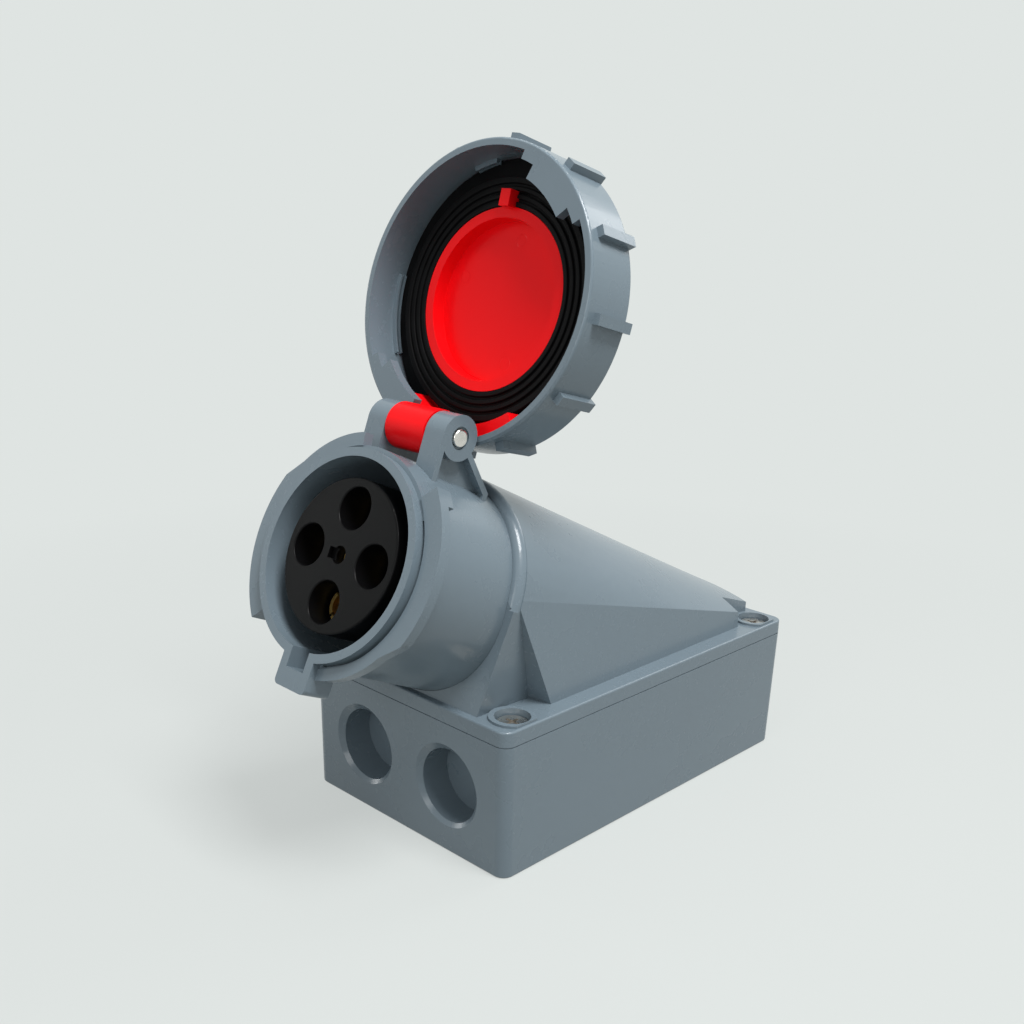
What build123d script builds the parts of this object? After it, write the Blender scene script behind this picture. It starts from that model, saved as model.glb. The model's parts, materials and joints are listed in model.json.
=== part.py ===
from build123d import *
import os
from math import acos, atan2, cos, degrees, hypot, radians, sin, sqrt, tan

os.makedirs("parts", exist_ok=True)

# Industrial socket on a wall box, with a hinged lid and a turning locking ring.
# Millimetres, +Z up. The origin is the centre of the mounting face, the mouth looks towards -Y.
# The lid and its ring are drawn closed, in the socket's own frame, and placed in the open pose.

# Box and cover flange
BOX_WIDTH = 112.0
BOX_LENGTH = 186.0
BASE_HEIGHT = 54.5
FLANGE_THICKNESS = 6.0
FLANGE_EDGE_RADIUS = 0.8
CORNER_RADIUS = 5.0
SIDE_DRAFT = 0.5
END_DRAFT = 2.0
SEAM_GAP = 0.4
BOX_WALL = 3.2
BOX_FLOOR = 4.0
BOTTOM_EDGE_RADIUS = 1.0
LEDGE_HEIGHT = 8.5
LEDGE_WIDTH = 6.4
POST_RADIUS = 7.0
LEDGE_POST_RADIUS = 9.0

# Cover screws
SCREW_X = 47.4
SCREW_Y = 80.7
SCREW_RADIUS = 2.9
SCREW_HEAD_RADIUS = 6.2
SCREW_HEAD_HEIGHT = 2.8
SCREW_HEAD_SUNK = 1.2
SCREW_BELOW_FLANGE = 18.0
COUNTERBORE_CLEARANCE = 0.8
SCREW_HOLE_CLEARANCE = 0.4
THREAD_CLEARANCE = 0.05
PAD_RADIUS = 9.2
SCREW_ACCESS_HEIGHT = 12.0
PAD_HEIGHT = 1.0
PAD_INSET = 1.2

# Gasket groove between box and cover
GROOVE_WIDTH = 2.6
GROOVE_DEPTH = 2.0
GROOVE_INSET = 1.9
GASKET_CLEARANCE = 0.1

# Mounting holes in the floor
MOUNT_SPACING_X = 90.0
MOUNT_SPACING_Y = 140.0
MOUNT_HOLE_RADIUS = 2.75
MOUNT_PAD_RADIUS = 6.0
MOUNT_PAD_HEIGHT = 2.0

# Blind cable entries in the front end of the box
ENTRY_X = 24.2
ENTRY_Z = 27.4
ENTRY_RADIUS = 14.9
ENTRY_MOUTH_RADIUS = 17.1
ENTRY_CHAMFER = 2.0
ENTRY_DEPTH = 15.0
ENTRY_WALL = 3.0
ENTRY_MEMBRANE = 2.0
ENTRY_BEYOND = 1.0

# Socket axis
SOCKET_TILT = 24.0
MOUTH_Y = -126.75
MOUTH_Z = 122.4

# Nose of the cover
NOSE_RADIUS = 45.0
NOSE_START = 45.0
NOSE_FRONT = 51.0
NOSE_FOOT_X = 48.7
NOSE_FOOT_SUNK = 2.5
NOSE_END_Y = 88.0
NOSE_END_HALF_WIDTH = 48.0
NOSE_END_SIDE_HEIGHT = 1.5
NOSE_END_CROWN_HEIGHT = 10.0
NOSE_WALL = 3.0
NOSE_FACE_FOOT_Y = -90.0
NOSE_FACE_KNEE_Z = 104.0
NOSE_SHOULDER = 3.7
NOSE_CREASE_ANGLE = 31.0
SEAT_WEB = 3.0
SEAT_INNER_RADIUS = 36.0
SEAT_CLEARANCE = 0.1

# Screw pockets in the front corners of the nose, and notches in the rear corners
POCKET_APEX = (45.6, -77.2, 104.0)
POCKET_FRONT_FOOT = (38.0, -89.0)
POCKET_INNER_FOOT = (38.2, -62.2)
POCKET_SIDE_FOOT = (48.7, -60.3)
POCKET_REACH = 30.0
NOTCH_X = 38.2
NOTCH_Y = 67.0

# Socket shell
BORE_RADIUS = 36.25
RIM_RADIUS = 39.6
RIM_LENGTH = 3.6
BARREL_RADIUS = 41.2
BARREL_LENGTH = 60.0
SEAL_THICKNESS = 1.0
BORE_DEPTH = 47.0
SHELL_WEB = 4.0
INSERT_CLEARANCE = 0.3
REAR_BORE_RADIUS = 36.4

# Bayonet cams
CAM_START = 100.0
CAM_SPAN = 115.0
CAM_LOW_SPAN = 41.0
CAM_LOW_RADII = (46.1, 45.2)
CAM_RAMP_SPAN = 12.0
CAM_HIGH_RADIUS = 48.8
CAM_FRONT = 3.0
CAM_THICKNESS = 4.2
CAM_STOP_SPAN = 8.0
CAM_STOP_LENGTH = 7.0
CAM_ROOT = 0.2
CAM_CHANNEL_WIDTH = 0.8
CAM_CHANNEL_DEPTH = 2.4
CAM_CHANNEL_END = 4.0

# Keyway and its lug
KEYWAY_WIDTH = 9.5
KEYWAY_RADIUS = 43.5
KEYWAY_GROOVE_RADIUS = 39.2
KEYWAY_LENGTH = 44.0
LUG_WIDTH = 17.0
LUG_RADIUS = 48.7
LUG_LENGTH = 12.0
LUG_BACK = 2.0
LUG_CORNER = 2.0

# Hinge
HINGE_DEPTH = 21.5
HINGE_UP = 53.5
OPEN_ANGLE = 170.2
PIN_RADIUS = 3.4
PIN_CLEARANCE = 0.05
PIN_PROUD = 0.6
PIN_EDGE = 0.8
EAR_INNER_X = 10.9
EAR_THICKNESS = 10.0
EAR_BOSS_RADIUS = 8.6
EAR_FRONT_DEPTH = 14.8
EAR_KNEE_DEPTH = 8.1
EAR_KNEE_DROP = 3.5
EAR_REAR_DEPTH = 44.7
EAR_REAR_UP = 38.5
EAR_ROOT_UP = 30.0
EAR_RECESS = 4.0
EAR_RIB = 2.4
PIN_RECESS_DEPTH = 0.8
PIN_RECESS_GAP = 0.9

# Contact insert
INSERT_RADIUS = 29.0
INSERT_FACE = 2.7
INSERT_FLANGE = 4.0
INSERT_FLANGE_CLEARANCE = 0.2
PITCH_RADIUS = 17.7
PIN_HOLE_RADIUS = 8.0
PIN_HOLE_DEPTH = 38.0
SEAT_FIT = 0.1
PILOT_HOLE_RADIUS = 3.4
PILOT_NOTCH_WIDTH = 4.2
PILOT_NOTCH_REACH = 5.8
PILOT_NOTCH_DEPTH = 2.0
FACE_EDGE = 0.8
HOLE_CHAMFER = 0.4

# Contacts
PHASE_RADIUS = 5.5
PHASE_BORE = 4.0
EARTH_RADIUS = 6.5
EARTH_BORE = 5.0
PHASE_SLEEVE_START = 18.0
EARTH_SLEEVE_START = 12.0
SLEEVE_BORE_END = 50.0
SLEEVE_SLOT_WIDTH = 1.0
SLEEVE_SLOT_LENGTH = 24.0
COLLAR_LENGTH = 2.0
TERMINAL_RADIUS = 7.0
TERMINAL_LENGTH = 19.0
WIRE_HOLE_RADIUS = 4.2
WIRE_HOLE_DEPTH = 16.0
PILOT_RADIUS = 3.0
PILOT_BORE = 1.9
PILOT_START = 8.0
PILOT_BORE_END = 36.0
PILOT_WIRE_RADIUS = 1.6
SPRING_SETBACK = 4.0
SPRING_LENGTH = 3.0
SPRING_GAP = 0.05
SPRING_THICKNESS = 0.75

# Terminal block and its screws
BLOCK_LENGTH = 23.0
BLOCK_CLEARANCE = 0.1
TERMINAL_SCREW_RADIUS = 2.5
TERMINAL_SCREW_LENGTH = 6.1
TERMINAL_SCREW_INNER = 21.4
TERMINAL_SCREW_DEPTHS = (61.0, 71.0)
TERMINAL_SCREW_ACCESS = 0.5
SCREW_SLOT_WIDTH = 1.0
SCREW_SLOT_DEPTH = 1.2
BLOCK_SCREW_PITCH = 22.0
BLOCK_SCREW_RADIUS = 2.0
BLOCK_SCREW_HEAD_RADIUS = 3.8
BLOCK_SCREW_HEAD_HEIGHT = 3.0
BLOCK_SCREW_ENGAGEMENT = 14.0
PILOT_SCREW_RADIUS = 1.5
PILOT_SCREW_LENGTH = 7.0
PILOT_SCREW_ANGLE = 135.0
PILOT_SCREW_DEPTH = 68.0
PILOT_SCREW_ACCESS = 2.2

# Small screws that hold insert and shell
SMALL_SCREW_RADIUS = 1.5
SMALL_HEAD_RADIUS = 2.8
SMALL_HEAD_HEIGHT = 2.0
SMALL_SCREW_ANGLE = 45.0
INSERT_SCREW_PITCH = 32.7
INSERT_SCREW_ENGAGEMENT = 3.0
SHELL_SCREW_PITCH = 38.8
SHELL_SCREW_ENGAGEMENT = 7.0
SEAL_CLEARANCE = 0.2

# Lid, in closed coordinates
LID_RADIUS = 55.0
LID_FACE = 5.3
LID_THICKNESS = 3.2
HUB_RADIUS = 48.6
HUB_TOP = 11.8
HUB_RECESS_RADIUS = 44.0
HUB_RECESS = 2.0
DISH_RADIUS = 35.5
DISH_INNER_RADIUS = 31.4
DISH_RIM = 0.8
DISH_FLOOR = 6.5
DISH_FLOOR_RADIUS = 31.0
TAB_WIDTH = 5.0
TAB_OUTER = 41.0
TAB_TOP = 3.0
TAB_REACH = 6.0
ARM_INNER_RADIUS = 49.3
ARM_HALF_ANGLE = 34.0
ARM_REACH = 7.0
NECK_HALF_WIDTH = 10.4
NECK_UNDERSIDE_UP = 47.5
DRUM_RADIUS = 9.0

# Lid gasket
LID_GASKET_INNER_GAP = 0.2
LID_GASKET_FACE = 0.4
LID_GASKET_FACE_RADIUS = 47.0
LID_GASKET_EDGE_GAP = 0.1
LID_GASKET_SKIRT = 1.0
LID_GROOVE_COUNT = 3
LID_GROOVE_WIDTH = 1.2
LID_GROOVE_DEPTH = 1.2
LID_GROOVE_START = 37.6
LID_GROOVE_PITCH = 2.9
ARM_GAP = 0.5

# Locking ring
RING_OUTER_RADIUS = 58.5
RING_CLEARANCE = 0.4
RING_EDGE = 11.7
RING_LIP = 2.5
RING_LIP_RADIUS = 49.0
RING_FACE_CLEARANCE = 0.3
RING_EDGE_RADIUS = 1.0
RIB_COUNT = 12
RIB_PHASE = 3.0
RIB_WIDTH = 4.0
RIB_PROUD = 2.8
RIB_SETBACK = 4.5
TONGUE_TIP_RADIUS = 46.6
TONGUE_CENTRES = (126.0, 306.0)
TONGUE_SPAN = 28.0
TONGUE_THICKNESS = 4.0
TONGUE_BASE_SPAN = 43.0
TONGUE_BASE_RADIUS = 52.0
KEEPER_SPANS = ((151.0, 186.0), (245.0, 257.0), (300.0, 335.0))
KEEPER_RADIUS = 53.6
KEEPER_LENGTH = 2.8
KEEPER_RIDGE = 0.8

# Heights that follow
SEAT_DEPTH = BARREL_LENGTH + SEAL_THICKNESS
FLANGE_TOP = BASE_HEIGHT + FLANGE_THICKNESS
FLANGE_HALF_X = BOX_WIDTH / 2
FLANGE_HALF_Y = BOX_LENGTH / 2
RING_INNER_RADIUS = LID_RADIUS + RING_CLEARANCE
RING_TOP = LID_FACE + LID_THICKNESS + RING_FACE_CLEARANCE + RING_LIP
INSERT_FLANGE_START = BORE_DEPTH + SHELL_WEB
INSERT_END = INSERT_FLANGE_START + INSERT_FLANGE
BLOCK_END = INSERT_END + BLOCK_LENGTH
EARTH_ANGLE = 270.0
PHASE_ANGLES = {"phase_contact_left": 180.0, "phase_contact_top": 90.0, "phase_contact_right": 0.0}

# Frames of the socket and of the opened lid
tilt_cos = cos(radians(SOCKET_TILT))
tilt_sin = sin(radians(SOCKET_TILT))
socket_plane = Plane(origin=(0, MOUTH_Y, MOUTH_Z), x_dir=(1, 0, 0), z_dir=(0, -tilt_cos, tilt_sin))
socket_axis = Axis(socket_plane.origin, socket_plane.z_dir)
hinge_point = socket_plane.from_local_coords(Vector(0, HINGE_UP, -HINGE_DEPTH))
lid_origin = hinge_point + (socket_plane.origin - hinge_point).rotate(Axis.X, -OPEN_ANGLE)
lid_normal = socket_plane.z_dir.rotate(Axis.X, -OPEN_ANGLE)
lid_plane = Plane(origin=lid_origin, x_dir=(1, 0, 0), z_dir=lid_normal)


def section_of(plane):
    """Plane through a frame's axis: x is the radius and y runs along the axis."""
    return Plane(origin=plane.origin, x_dir=plane.x_dir, z_dir=-plane.y_dir)


def side_of(plane):
    """Side view of a frame: x is the depth behind the mouth and y runs up."""
    return Plane(origin=plane.origin, x_dir=-plane.z_dir, z_dir=plane.x_dir)


def at_depth(depth):
    """Plane square to the socket axis, this far behind the mouth."""
    return socket_plane.offset(-depth)


def polar(radius, angle):
    """Point at a radius and an angle in degrees."""
    return (radius * cos(radians(angle)), radius * sin(radians(angle)))


def sector(inner, outer, start, end):
    """Face between two radii and two angles."""
    with BuildSketch(mode=Mode.PRIVATE) as face:
        with BuildLine():
            outer_arc = CenterArc((0, 0), outer, start, end - start)
            inner_arc = CenterArc((0, 0), inner, start, end - start)
            Line(outer_arc @ 0, inner_arc @ 0)
            Line(outer_arc @ 1, inner_arc @ 1)
        make_face()
    return face.sketch


def rod(radius, near, far, mode=Mode.ADD):
    """Round bar on the socket axis between two depths, at the current locations."""
    with Locations((0, 0, -far)):
        Cylinder(radius, far - near, align=(Align.CENTER, Align.CENTER, Align.MIN), mode=mode)


def radial_plane(depth, angle, radius, plane=socket_plane):
    """Plane whose normal points away from the socket axis, at a depth, angle and radius."""
    outward = plane.x_dir * cos(radians(angle)) + plane.y_dir * sin(radians(angle))
    origin = plane.origin - plane.z_dir * depth + outward * radius
    return Plane(origin=origin, x_dir=plane.z_dir, z_dir=outward)


def save(builder, name):
    """Label a finished piece and write it."""
    builder.part.label = name
    export_step(builder.part, f"parts/{name}.step")


screw_points = [(side * SCREW_X, end * SCREW_Y) for side in (-1, 1) for end in (-1, 1)]
screw_head_seat = FLANGE_TOP - SCREW_HEAD_SUNK - SCREW_HEAD_HEIGHT


def cut_corners(x_near, x_far, y_near, y_far):
    """Take the same rectangle off the four corners of the current sketch."""
    for side in (-1, 1):
        for end in (-1, 1):
            with Locations((side * (x_near + x_far) / 2, end * (y_near + y_far) / 2)):
                Rectangle(x_far - x_near, y_far - y_near, mode=Mode.SUBTRACT)


def cavity_outline(inset, post_radius, end_shift=0.0):
    """Inside of the box at an inset from its outline, with a post left round each screw."""
    half_x = FLANGE_HALF_X - inset
    half_y = FLANGE_HALF_Y - inset - end_shift
    with BuildSketch(mode=Mode.PRIVATE) as outline:
        Rectangle(2 * half_x, 2 * half_y)
        with Locations(*screw_points):
            Circle(post_radius, mode=Mode.SUBTRACT)
        cut_corners(SCREW_X, FLANGE_HALF_X, SCREW_Y - post_radius, FLANGE_HALF_Y)
        cut_corners(SCREW_X - post_radius, FLANGE_HALF_X, SCREW_Y, FLANGE_HALF_Y)
    return outline.sketch


# Lower box, its ends leaning inwards towards the floor
side_lean = BASE_HEIGHT * tan(radians(SIDE_DRAFT))
end_lean = BASE_HEIGHT * tan(radians(END_DRAFT))
entry_face_y = -FLANGE_HALF_Y + (BASE_HEIGHT - ENTRY_Z) * tan(radians(END_DRAFT))
entry_plane = Plane(origin=(0, entry_face_y, 0), x_dir=(1, 0, 0), z_dir=(0, -1, 0))
entry_slope = (ENTRY_MOUTH_RADIUS - ENTRY_RADIUS) / ENTRY_CHAMFER
with BuildPart() as base_box:
    with BuildSketch():
        RectangleRounded(BOX_WIDTH - 2 * side_lean, BOX_LENGTH - 2 * end_lean, CORNER_RADIUS)
    with BuildSketch(Plane.XY.offset(BASE_HEIGHT)):
        RectangleRounded(BOX_WIDTH, BOX_LENGTH, CORNER_RADIUS)
    loft(ruled=True)
    fillet(base_box.faces().sort_by(Axis.Z)[0].edges(), radius=BOTTOM_EDGE_RADIUS)
    # shadow gap under the cover
    with BuildSketch(Plane.XY.offset(BASE_HEIGHT)):
        Rectangle(BOX_WIDTH + 1, BOX_LENGTH + 1)
        RectangleRounded(BOX_WIDTH - 2 * SEAM_GAP, BOX_LENGTH - 2 * SEAM_GAP, CORNER_RADIUS,
                         mode=Mode.SUBTRACT)
    extrude(amount=-SEAM_GAP, mode=Mode.SUBTRACT)
    # hollow with a ledge round its mouth
    with BuildSketch(Plane.XY.offset(BOX_FLOOR)):
        add(cavity_outline(BOX_WALL, POST_RADIUS, end_lean))
    extrude(amount=BASE_HEIGHT - LEDGE_HEIGHT - BOX_FLOOR, mode=Mode.SUBTRACT)
    with BuildSketch(Plane.XY.offset(BASE_HEIGHT - LEDGE_HEIGHT)):
        add(cavity_outline(LEDGE_WIDTH, LEDGE_POST_RADIUS))
    extrude(amount=LEDGE_HEIGHT, mode=Mode.SUBTRACT)
    # cable entries: a tube with a thin end wall to knock out
    with BuildSketch(entry_plane.offset(-ENTRY_DEPTH - ENTRY_MEMBRANE)):
        with Locations((-ENTRY_X, ENTRY_Z), (ENTRY_X, ENTRY_Z)):
            Circle(ENTRY_RADIUS + ENTRY_WALL)
    extrude(amount=ENTRY_DEPTH)
    with BuildSketch(entry_plane.offset(-ENTRY_DEPTH)):
        with Locations((-ENTRY_X, ENTRY_Z), (ENTRY_X, ENTRY_Z)):
            Circle(ENTRY_RADIUS)
    extrude(amount=ENTRY_DEPTH + ENTRY_BEYOND, mode=Mode.SUBTRACT)
    for side in (-1, 1):
        with BuildSketch(entry_plane.offset(ENTRY_BEYOND)):
            with Locations((side * ENTRY_X, ENTRY_Z)):
                Circle(ENTRY_MOUTH_RADIUS + ENTRY_BEYOND * entry_slope)
        with BuildSketch(entry_plane.offset(-ENTRY_CHAMFER)):
            with Locations((side * ENTRY_X, ENTRY_Z)):
                Circle(ENTRY_RADIUS)
        loft(mode=Mode.SUBTRACT)
    # gasket groove, screw holes and mounting holes
    with BuildSketch(Plane.XY.offset(BASE_HEIGHT)):
        add(cavity_outline(LEDGE_WIDTH - GROOVE_INSET - GROOVE_WIDTH,
                           LEDGE_POST_RADIUS - GROOVE_INSET - GROOVE_WIDTH))
        add(cavity_outline(LEDGE_WIDTH - GROOVE_INSET, LEDGE_POST_RADIUS - GROOVE_INSET),
            mode=Mode.SUBTRACT)
    extrude(amount=-GROOVE_DEPTH, mode=Mode.SUBTRACT)
    with BuildSketch(Plane.XY.offset(BASE_HEIGHT)):
        with Locations(*screw_points):
            Circle(SCREW_RADIUS + THREAD_CLEARANCE)
    extrude(amount=-SCREW_BELOW_FLANGE - 1, mode=Mode.SUBTRACT)
    with BuildSketch(Plane.XY.offset(BOX_FLOOR)):
        with GridLocations(MOUNT_SPACING_X, MOUNT_SPACING_Y, 2, 2):
            Circle(MOUNT_PAD_RADIUS)
    extrude(amount=MOUNT_PAD_HEIGHT)
    with BuildSketch():
        with GridLocations(MOUNT_SPACING_X, MOUNT_SPACING_Y, 2, 2):
            Circle(MOUNT_HOLE_RADIUS)
    extrude(amount=BOX_FLOOR + MOUNT_PAD_HEIGHT, mode=Mode.SUBTRACT)
save(base_box, "base_box")

# Gasket in the groove
with BuildPart() as box_gasket:
    with BuildSketch(Plane.XY.offset(BASE_HEIGHT)):
        add(cavity_outline(LEDGE_WIDTH - GROOVE_INSET - GROOVE_WIDTH + GASKET_CLEARANCE,
                           LEDGE_POST_RADIUS - GROOVE_INSET - GROOVE_WIDTH + GASKET_CLEARANCE))
        add(cavity_outline(LEDGE_WIDTH - GROOVE_INSET - GASKET_CLEARANCE,
                           LEDGE_POST_RADIUS - GROOVE_INSET - GASKET_CLEARANCE),
            mode=Mode.SUBTRACT)
    extrude(amount=-GROOVE_DEPTH)
save(box_gasket, "box_gasket")

# Cover screws
with BuildPart() as cover_screws:
    with BuildSketch(Plane.XY.offset(screw_head_seat)):
        with Locations(*screw_points):
            Circle(SCREW_HEAD_RADIUS)
    extrude(amount=SCREW_HEAD_HEIGHT)
    head_tops = cover_screws.faces().filter_by(Axis.Z).group_by(Axis.Z)[-1]
    fillet(head_tops.edges(), radius=SCREW_HEAD_HEIGHT / 4)
    with BuildSketch(Plane.XY.offset(screw_head_seat)):
        with Locations(*screw_points):
            Circle(SCREW_RADIUS)
    extrude(amount=BASE_HEIGHT - SCREW_BELOW_FLANGE - screw_head_seat)
    with BuildSketch(Plane.XY.offset(screw_head_seat + SCREW_HEAD_HEIGHT)):
        with Locations(*screw_points):
            Rectangle(SCREW_HEAD_RADIUS, SCREW_HEAD_RADIUS / 5)
            Rectangle(SCREW_HEAD_RADIUS / 5, SCREW_HEAD_RADIUS)
            Circle(SCREW_HEAD_RADIUS / 5)
    extrude(amount=-SCREW_HEAD_HEIGHT * 0.7, mode=Mode.SUBTRACT)
save(cover_screws, "cover_screws")


# Cover: a flange with a hollow nose that runs from the socket down to the rear end
def nose_form(inset, floor_z):
    """Lofted body of the nose, shrunk by an inset, standing on a level."""
    radius = NOSE_RADIUS - inset
    foot_x = NOSE_FOOT_X - inset
    foot_up = (floor_z - MOUTH_Z + tilt_sin * NOSE_START) / tilt_cos
    touch = degrees(atan2(foot_up, foot_x) + acos(radius / hypot(foot_x, foot_up)))
    end_x = NOSE_END_HALF_WIDTH - inset
    side_top = FLANGE_TOP + NOSE_END_SIDE_HEIGHT
    side_middle = (side_top + floor_z) / 2
    crown_top = FLANGE_TOP + NOSE_END_CROWN_HEIGHT - inset
    end_plane = Plane(origin=(0, NOSE_END_Y - inset, 0), x_dir=(1, 0, 0), z_dir=(0, -1, 0))
    with BuildPart(mode=Mode.PRIVATE) as form:
        with BuildSketch(at_depth(NOSE_START)):
            with BuildLine():
                CenterArc((0, 0), radius, NOSE_CREASE_ANGLE, 180 - 2 * NOSE_CREASE_ANGLE)
                right = CenterArc((0, 0), radius, touch, NOSE_CREASE_ANGLE - touch)
                left = CenterArc((0, 0), radius, 180 - NOSE_CREASE_ANGLE, NOSE_CREASE_ANGLE - touch)
                Polyline(left @ 1, (-foot_x, foot_up), (foot_x, foot_up), right @ 0)
            make_face()
        with BuildSketch(end_plane):
            with BuildLine():
                crown = ThreePointArc((end_x, side_top), (0, crown_top), (-end_x, side_top))
                Polyline(crown @ 1, (-end_x, side_middle), (-end_x, floor_z), (end_x, floor_z),
                         (end_x, side_middle), crown @ 0)
            make_face()
        loft(ruled=True)
    return form.part


def pocket(inset, side):
    """Wedge taken out of one front corner, shifted inwards by an inset."""
    apex_x, apex_y, apex_z = POCKET_APEX
    front_x, front_y = POCKET_FRONT_FOOT
    inner_x, inner_y = POCKET_INNER_FOOT
    side_x, side_y = POCKET_SIDE_FOOT
    run_x = front_x - inner_x
    run_y = front_y - inner_y
    top_z = apex_z + 2 * inset
    outer_x = side * (apex_x + POCKET_REACH)
    return ConvexPolyhedron([
        (side * (apex_x - inset), apex_y + inset, top_z),
        (side * (apex_x - inset + 2 * run_x), apex_y + inset + 2 * run_y, top_z),
        (side * (inner_x - inset), inner_y + inset, FLANGE_TOP),
        (side * (inner_x - inset + 2 * run_x), inner_y + inset + 2 * run_y, FLANGE_TOP),
        (side * side_x, side_y + inset, FLANGE_TOP),
        (outer_x, apex_y + inset + 2 * run_y, FLANGE_TOP),
        (outer_x, apex_y + inset + 2 * run_y, top_z),
    ], mode=Mode.PRIVATE)


def rear_notch(inset, side):
    """Block taken out of one rear corner, grown inwards by an inset."""
    with BuildPart(mode=Mode.PRIVATE) as block:
        with BuildSketch(Plane.XY.offset(FLANGE_TOP)):
            with Locations((side * (NOTCH_X - inset + FLANGE_HALF_X / 2), NOTCH_Y - inset)):
                Rectangle(FLANGE_HALF_X, FLANGE_HALF_Y, align=(Align.CENTER, Align.MIN))
        extrude(amount=NOSE_RADIUS)
    return block.part


# Front of the nose: square to the socket down to a knee, then steeper to its foot
knee_up = (NOSE_FACE_KNEE_Z - MOUTH_Z + tilt_sin * NOSE_FRONT) / tilt_cos
knee_y = MOUTH_Y + tilt_cos * NOSE_FRONT + tilt_sin * knee_up
front_top = socket_plane.from_local_coords(Vector(0, 2 * NOSE_RADIUS, -NOSE_FRONT))
with BuildPart(mode=Mode.PRIVATE) as nose_front:
    with BuildSketch(Plane.YZ.offset(-BOX_WIDTH)):
        with BuildLine():
            Polyline(
                (front_top.Y, front_top.Z),
                (knee_y, NOSE_FACE_KNEE_Z),
                (NOSE_FACE_FOOT_Y, FLANGE_TOP),
                (NOSE_FACE_FOOT_Y, BASE_HEIGHT),
                (MOUTH_Y - BOX_WIDTH, BASE_HEIGHT),
                (MOUTH_Y - BOX_WIDTH, front_top.Z),
                close=True,
            )
        make_face()
    extrude(amount=2 * BOX_WIDTH)

# Rounding of the front shoulder over the arch
shoulder_inner = NOSE_RADIUS - NOSE_SHOULDER
shoulder_section = section_of(socket_plane)
with BuildSketch(shoulder_section, mode=Mode.PRIVATE) as shoulder_profile:
    with BuildLine():
        RadiusArc((shoulder_inner, -NOSE_FRONT), (NOSE_RADIUS, -NOSE_FRONT - NOSE_SHOULDER), NOSE_SHOULDER)
        Polyline(
            (NOSE_RADIUS, -NOSE_FRONT - NOSE_SHOULDER),
            (NOSE_RADIUS + NOSE_SHOULDER, -NOSE_FRONT - NOSE_SHOULDER),
            (NOSE_RADIUS + NOSE_SHOULDER, -NOSE_FRONT + 1),
            (shoulder_inner, -NOSE_FRONT + 1),
            (shoulder_inner, -NOSE_FRONT),
        )
    make_face()
with BuildPart(mode=Mode.PRIVATE) as shoulder_cut:
    add(shoulder_profile.sketch)
    revolve(axis=socket_axis, revolution_arc=180)

with BuildPart(mode=Mode.PRIVATE) as nose:
    add(nose_form(0, FLANGE_TOP - NOSE_FOOT_SUNK))
    add(nose_front.part, mode=Mode.SUBTRACT)
    add(shoulder_cut.part, mode=Mode.SUBTRACT)

with BuildPart(mode=Mode.PRIVATE) as nose_cavity:
    add(nose_form(NOSE_WALL, FLANGE_TOP))
    split(bisect_by=at_depth(SEAT_DEPTH + SEAT_WEB), keep=Keep.BOTTOM)
    for side in (1, -1):
        add(pocket(NOSE_WALL, side), mode=Mode.SUBTRACT)
        add(rear_notch(NOSE_WALL, side), mode=Mode.SUBTRACT)

opening_half_x = NOSE_FOOT_X - NOSE_WALL
opening_front_y = POCKET_INNER_FOOT[1] + 2 * NOSE_WALL
opening_rear_y = NOTCH_Y - NOSE_WALL
narrow_half_x = POCKET_FRONT_FOOT[0] - NOSE_WALL
narrow_half_y = NOSE_END_Y - 2 * NOSE_WALL
with BuildPart() as cover_housing:
    with BuildSketch(Plane.XY.offset(BASE_HEIGHT)):
        RectangleRounded(BOX_WIDTH, BOX_LENGTH, CORNER_RADIUS)
    extrude(amount=FLANGE_THICKNESS)
    fillet(cover_housing.faces().sort_by(Axis.Z)[-1].edges(), radius=FLANGE_EDGE_RADIUS)
    add(nose.part)
    for side in (1, -1):
        add(pocket(0, side), mode=Mode.SUBTRACT)
        add(rear_notch(0, side), mode=Mode.SUBTRACT)
    add(nose_cavity.part, mode=Mode.SUBTRACT)
    with BuildSketch(Plane.XY.offset(BASE_HEIGHT)):
        with Locations((0, (opening_front_y + opening_rear_y) / 2)):
            Rectangle(2 * opening_half_x, opening_rear_y - opening_front_y)
        Rectangle(2 * narrow_half_x, 2 * narrow_half_y)
    extrude(amount=FLANGE_THICKNESS, mode=Mode.SUBTRACT)
    # seat of the socket shell
    with Locations(socket_plane):
        rod(BARREL_RADIUS + SEAT_CLEARANCE, NOSE_START, SEAT_DEPTH, Mode.SUBTRACT)
        rod(SEAT_INNER_RADIUS, SEAT_DEPTH, SEAT_DEPTH + SEAT_WEB, Mode.SUBTRACT)
        with PolarLocations(SHELL_SCREW_PITCH, 4, SMALL_SCREW_ANGLE):
            rod(SMALL_SCREW_RADIUS + SEAL_CLEARANCE, SEAT_DEPTH, SEAT_DEPTH + SEAT_WEB, Mode.SUBTRACT)
    # raised pads with sunk screw heads
    with BuildSketch(Plane.XY.offset(FLANGE_TOP - FLANGE_EDGE_RADIUS)):
        with Locations(*screw_points):
            Circle(PAD_RADIUS)
        RectangleRounded(BOX_WIDTH - 2 * PAD_INSET, BOX_LENGTH - 2 * PAD_INSET, CORNER_RADIUS,
                         mode=Mode.INTERSECT)
    extrude(amount=FLANGE_EDGE_RADIUS + PAD_HEIGHT)
    with BuildSketch(Plane.XY.offset(screw_head_seat)):
        with Locations(*screw_points):
            Circle(SCREW_HEAD_RADIUS + COUNTERBORE_CLEARANCE)
    extrude(amount=SCREW_ACCESS_HEIGHT, mode=Mode.SUBTRACT)
    with BuildSketch(Plane.XY.offset(BASE_HEIGHT)):
        with Locations(*screw_points):
            Circle(SCREW_RADIUS + SCREW_HOLE_CLEARANCE)
    extrude(amount=FLANGE_THICKNESS, mode=Mode.SUBTRACT)
save(cover_housing, "cover_housing")


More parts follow.
